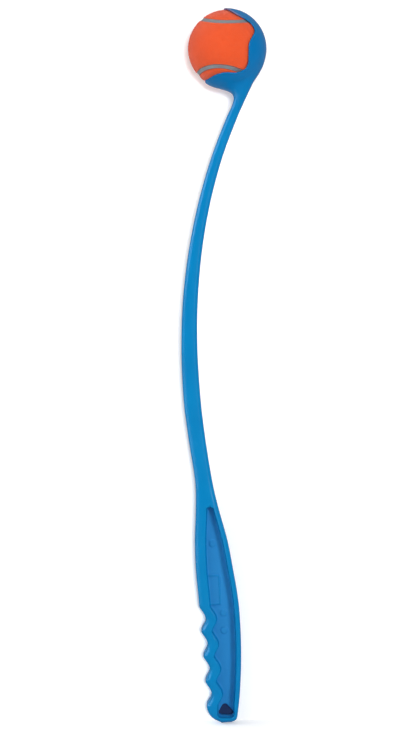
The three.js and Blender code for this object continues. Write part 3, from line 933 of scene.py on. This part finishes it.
floor_place, sheet_top = -60.2, 3000
sheet_mark, sheet_mark_place, sheet_slope = -50, 11.75, 0.0406
foot_place = sheet_mark_place + sheet_slope * (floor_place - sheet_mark)
top_place = foot_place + sheet_slope * (sheet_top - floor_place)
sheet_reach, floor_reach = 3, 4
# Painted shade: a dark pad on the sheet behind the hang hole, its middle and reach in mm.
hole_shade_place, hole_shade_reach = (2.1, -48.5), 10.0
# Where the light that shiny faces see changes over the paper, in metres: in front of the thrower, and
# beside it on the finger side.
front_start, front_end = -0.08, -0.5
beside_start, beside_end = -0.3, -0.9


def paper(name, lift, shine_near, shine_front, shine_beside, is_sheet):
    """White paper, which the camera sees lifted to white. Shiny faces see it glow at levels of its own, a
    painted reflection: close to the thrower, in front of it, and beside it on the finger side. The sheet
    has a dark pad of painted shade behind the hang hole, so that the hole looks dark. From behind it is
    clear, and so it is to light that comes off another surface."""
    material, tree = new_material(name)
    place = add_node(tree, "ShaderNodeTexCoord").outputs["Object"]
    pulp = add_node(tree, "ShaderNodeTexNoise", {"Vector": place, "Scale": 1 / 0.002, "Detail": 2.0})
    white = add_node(
        tree,
        "ShaderNodeMix",
        {"Factor": pulp.outputs["Fac"], "A": colour("FAFAFB"), "B": colour("FDFDFD")},
        data_type="RGBA",
    )
    parts = add_node(tree, "ShaderNodeSeparateXYZ", {"Vector": place}).outputs
    # Painted shade: inside the pad the sheet is dark blue, is not lifted to white, and also looks dark to
    # shiny faces.
    if is_sheet:
        flat = add_node(tree, "ShaderNodeCombineXYZ", {"X": parts["X"], "Z": parts["Z"]})
        from_hole_shade = add_node(
            tree,
            "ShaderNodeVectorMath",
            {0: flat.outputs["Vector"], 1: (hole_shade_place[0] * MM, 0.0, hole_shade_place[1] * MM)},
            operation="DISTANCE",
        )
        off_hole_shade = add_node(
            tree,
            "ShaderNodeMath",
            {0: from_hole_shade.outputs["Value"], 1: hole_shade_reach * MM},
            operation="GREATER_THAN",
        ).outputs["Value"]
        white = add_node(
            tree,
            "ShaderNodeMix",
            {"Factor": off_hole_shade, "A": colour("2A3C60"), "B": white.outputs[2]},
            data_type="RGBA",
        )
    matt = add_node(tree, "ShaderNodeBsdfDiffuse", {"Color": white.outputs[2]})
    rays = add_node(tree, "ShaderNodeLightPath").outputs
    seen = add_node(
        tree,
        "ShaderNodeMath",
        {0: rays["Is Camera Ray"], 1: rays["Is Transmission Ray"]},
        operation="MAXIMUM",
    )
    glow = add_node(
        tree, "ShaderNodeMath", {0: seen.outputs["Value"], 1: lift}, operation="MULTIPLY"
    ).outputs["Value"]
    mirrored = rays["Is Glossy Ray"]
    if is_sheet:
        glow, mirrored = [
            add_node(tree, "ShaderNodeMath", {0: share, 1: off_hole_shade}, operation="MULTIPLY").outputs["Value"]
            for share in (glow, mirrored)
        ]
    lifted = add_node(tree, "ShaderNodeEmission", {"Color": colour("FFFFFF"), "Strength": glow})
    shown = add_node(tree, "ShaderNodeAddShader", {0: matt.outputs["BSDF"], 1: lifted.outputs["Emission"]})
    # Painted reflection: shiny faces see the paper glow white at these levels, up to six times white beside
    # the thrower on the floor's finger side.
    near = add_node(
        tree,
        "ShaderNodeMapRange",
        {
            "Value": parts["Y"],
            "From Min": front_start,
            "From Max": front_end,
            "To Min": shine_near,
            "To Max": shine_front,
        },
    )
    beside = add_node(
        tree,
        "ShaderNodeMapRange",
        {
            "Value": parts["X"],
            "From Min": beside_start,
            "From Max": beside_end,
            "To Min": 0.0,
            "To Max": shine_beside,
        },
    )
    shine = add_node(
        tree,
        "ShaderNodeMath",
        {0: near.outputs["Result"], 1: beside.outputs["Result"]},
        operation="MAXIMUM",
    )
    reflected = add_node(
        tree, "ShaderNodeEmission", {"Color": colour("FFFFFF"), "Strength": shine.outputs["Value"]}
    )
    final = add_node(
        tree,
        "ShaderNodeMixShader",
        {0: mirrored, 1: shown.outputs["Shader"], 2: reflected.outputs["Emission"]},
    ).outputs["Shader"]
    if is_sheet:
        behind = add_node(tree, "ShaderNodeNewGeometry").outputs["Backfacing"]
        passed = add_node(
            tree, "ShaderNodeMath", {0: behind, 1: rays["Is Diffuse Ray"]}, operation="MAXIMUM"
        )
        clear = add_node(tree, "ShaderNodeBsdfTransparent")
        final = add_node(
            tree, "ShaderNodeMixShader", {0: passed.outputs["Value"], 1: final, 2: clear.outputs["BSDF"]}
        ).outputs["Shader"]
    add_node(tree, "ShaderNodeOutputMaterial", {"Surface": final})
    return material


sheet = add_mesh(
    "paper_sheet",
    [
        (x, y * MM, z * MM)
        for x, y, z in (
            (-sheet_reach, foot_place, floor_place),
            (sheet_reach, foot_place, floor_place),
            (sheet_reach, top_place, sheet_top),
            (-sheet_reach, top_place, sheet_top),
        )
    ],
    [(0, 1, 2, 3)],
    paper(
        "white_paper_sheet",
        lift=0.1,
        shine_near=0.3,
        shine_front=0.3,
        shine_beside=0.3,
        is_sheet=True,
    ),
)
floor = add_mesh(
    "paper_floor",
    [
        (x * floor_reach, y * floor_reach, floor_place * MM)
        for x, y in ((-1, -1), (1, -1), (1, 1), (-1, 1))
    ],
    [(0, 1, 2, 3)],
    paper(
        "white_paper_floor",
        lift=0.42,
        shine_near=0.3,
        shine_front=0.0,
        # The floor glows six times white for shiny faces on the finger side: a painted reflection for the
        # thrower's left edges.
        shine_beside=6.0,
        is_sheet=False,
    ),
)

# The room's light by direction: the axis, where along it the light changes, and its levels before and
# after. X points to the palm side, Y to behind the sheet and Z up. The room is dark behind the lens,
# dimmer behind the sheet, and brighter on the finger side to balance the key lamp. Shiny faces see it dark
# round the lens, bright in a band above and one below on the finger side, and dim on the palm side.
room_levels = {
    "off_lens": ("Y", -0.96, -0.74, 0.0, 1.0),
    "behind_sheet": ("Y", -0.2, 0.5, 1.0, 0.75),
    "finger_side": ("X", -1.0, -0.3, 1.7, 0.77),
    "palm_side": ("X", -0.3, 1.0, 1.0, 0.3),
    "shiny_off_lens": ("Y", -0.97, -0.78, 0.0, 1.0),
    "shiny_above": ("Z", 0.08, 0.2, 0.05, 13.0),
    "shiny_far_above": ("Z", 0.35, 0.55, 1.0, 0.05),
    "shiny_below": ("Z", -0.01, -0.06, 0.05, 10.0),
    "shiny_far_below": ("Z", -0.35, -0.55, 1.0, 0.05),
    "shiny_palm_side": ("Z", 0.4, 0.9, 0.1, 0.8),
    "to_palm_side": ("X", -0.15, 0.15, 0.0, 1.0),
}
room_steps = (
    ("front_and_back", "MULTIPLY", "off_lens", "behind_sheet"),
    ("side_to_side", "MULTIPLY", "finger_side", "palm_side"),
    ("room", "MULTIPLY", "front_and_back", "side_to_side"),
    ("band_above", "MULTIPLY", "shiny_above", "shiny_far_above"),
    ("band_below", "MULTIPLY", "shiny_below", "shiny_far_below"),
    ("shiny_finger_side", "MAXIMUM", "band_above", "band_below"),
)

world = bpy.data.worlds.new("studio")
bpy.context.scene.world = world
world.use_nodes = True
# Shiny faces see other levels than matt ones, so the room's light is found by rays and not as a lamp's.
world.cycles.sampling_method = "NONE"
tree = world.node_tree
tree.nodes.clear()
rays = add_node(tree, "ShaderNodeLightPath").outputs
toward = add_node(tree, "ShaderNodeTexCoord").outputs["Generated"]
heading = add_node(tree, "ShaderNodeSeparateXYZ", {"Vector": toward}).outputs
light = {
    name: add_node(
        tree,
        "ShaderNodeMapRange",
        {"Value": heading[axis], "From Min": start, "From Max": end, "To Min": low, "To Max": high},
        interpolation_type="SMOOTHSTEP",
    ).outputs["Result"]
    for name, (axis, start, end, low, high) in room_levels.items()
}
for name, step, first, second in room_steps:
    light[name] = add_node(
        tree, "ShaderNodeMath", {0: light[first], 1: light[second]}, operation=step
    ).outputs["Value"]
sideways = add_node(
    tree,
    "ShaderNodeMix",
    {"Factor": light["to_palm_side"], "A": light["shiny_finger_side"], "B": light["shiny_palm_side"]},
)
mirrored = add_node(
    tree,
    "ShaderNodeMath",
    {0: light["shiny_off_lens"], 1: sideways.outputs["Result"]},
    operation="MULTIPLY",
)
reflected = add_node(
    tree,
    "ShaderNodeMix",
    {"Factor": rays["Is Glossy Ray"], "A": light["room"], "B": mirrored.outputs["Value"]},
)
seen = add_node(
    tree,
    "ShaderNodeMath",
    {0: rays["Is Camera Ray"], 1: rays["Is Transmission Ray"]},
    operation="MAXIMUM",
)
strength = add_node(
    tree, "ShaderNodeMix", {"Factor": seen.outputs["Value"], "A": reflected.outputs["Result"], "B": 1.0}
)
sky = add_node(
    tree, "ShaderNodeBackground", {"Color": colour("FFFFFF"), "Strength": strength.outputs["Result"]}
)
add_node(tree, "ShaderNodeOutputWorld", {"Surface": sky.outputs["Background"]})

aim = Vector((0, 0, 0.254))
lamp_distance = 3.0


def soft_box(name, right, up, size, power, lit, shiny):
    """A square lamp that looks at the thrower from an angle to the right of the lens and above it, and
    lights only these objects."""
    lamp = bpy.data.lights.new(name, "AREA")
    lamp.shape = "SQUARE"
    lamp.size, lamp.energy = size, power
    box = bpy.data.objects.new(name, lamp)
    bpy.context.scene.collection.objects.link(box)
    right, up = math.radians(right), math.radians(up)
    away = Vector((math.sin(right) * math.cos(up), -math.cos(right) * math.cos(up), math.sin(up)))
    box.location = aim + lamp_distance * away
    box.rotation_euler = away.to_track_quat("Z", "Y").to_euler()
    box.visible_camera = False
    box.visible_glossy = shiny
    receivers = bpy.data.collections.new(name + "_lights")
    for piece in lit:
        receivers.objects.link(piece)
    box.light_linking.receiver_collection = receivers


stage = (sheet, floor)
object_pieces = [
    piece for piece in bpy.context.scene.objects if piece.type == "MESH" and piece not in stage
]
soft_box("paper_lamp", right=5, up=2, size=0.4, power=52, lit=stage, shiny=False)
soft_box("key_lamp", right=31, up=16, size=0.7, power=45, lit=object_pieces, shiny=True)

camera = bpy.data.cameras.new("camera")
camera.lens, camera.sensor_width = 83.83, 36.0
camera.clip_start, camera.clip_end = 0.05, 20.0
eye = bpy.data.objects.new("camera", camera)
bpy.context.scene.collection.objects.link(eye)
eye.location = (-0.0163, -1.5, 0.2537)
eye.rotation_euler = (math.pi / 2, 0, 0)
bpy.context.scene.camera = eye
bpy.context.scene.view_settings.view_transform = "Standard"
